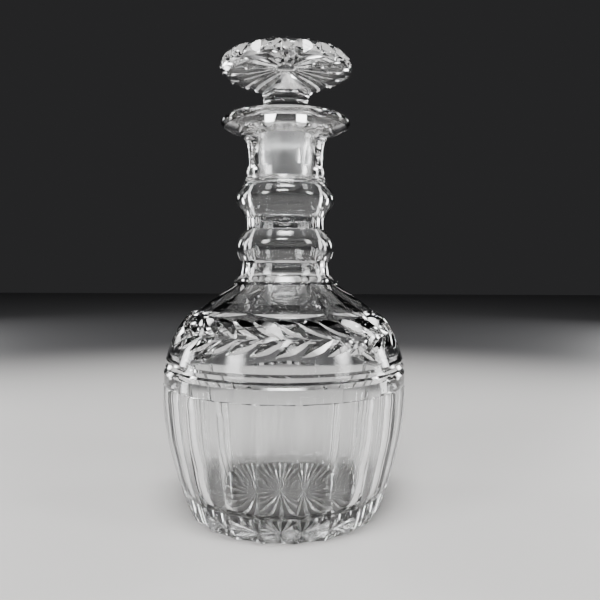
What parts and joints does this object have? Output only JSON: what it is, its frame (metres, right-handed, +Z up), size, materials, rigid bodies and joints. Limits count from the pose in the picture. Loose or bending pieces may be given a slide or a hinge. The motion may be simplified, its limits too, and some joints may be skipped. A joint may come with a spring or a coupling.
{
  "type": "wine decanter",
  "caption": "Clear cut-crystal barrel decanter with a ringed neck, flared lip, fluted body and a ground mushroom stopper that lifts out.",
  "frame": {"origin": "centre of the base, on the table", "axes": "+Z up along the bottle's axis; the front faces -Y; the bottle is alike all round except for where its cuts start"},
  "size_m": [0.1299, 0.1298, 0.2484],
  "materials": {
    "crystal": "polished cut crystal, with the stopper's peg and its socket ground to a satin finish"
  },
  "bodies": {
    "bottle": {"bottle": "crystal"},
    "stopper": {"stopper": "crystal"}
  },
  "joints": [
    {"name": "stopper_lift", "type": "slide", "parent": "bottle", "child": "stopper", "axis": [0, 0, 1], "range_m": [0, 0.045]}
  ]
}
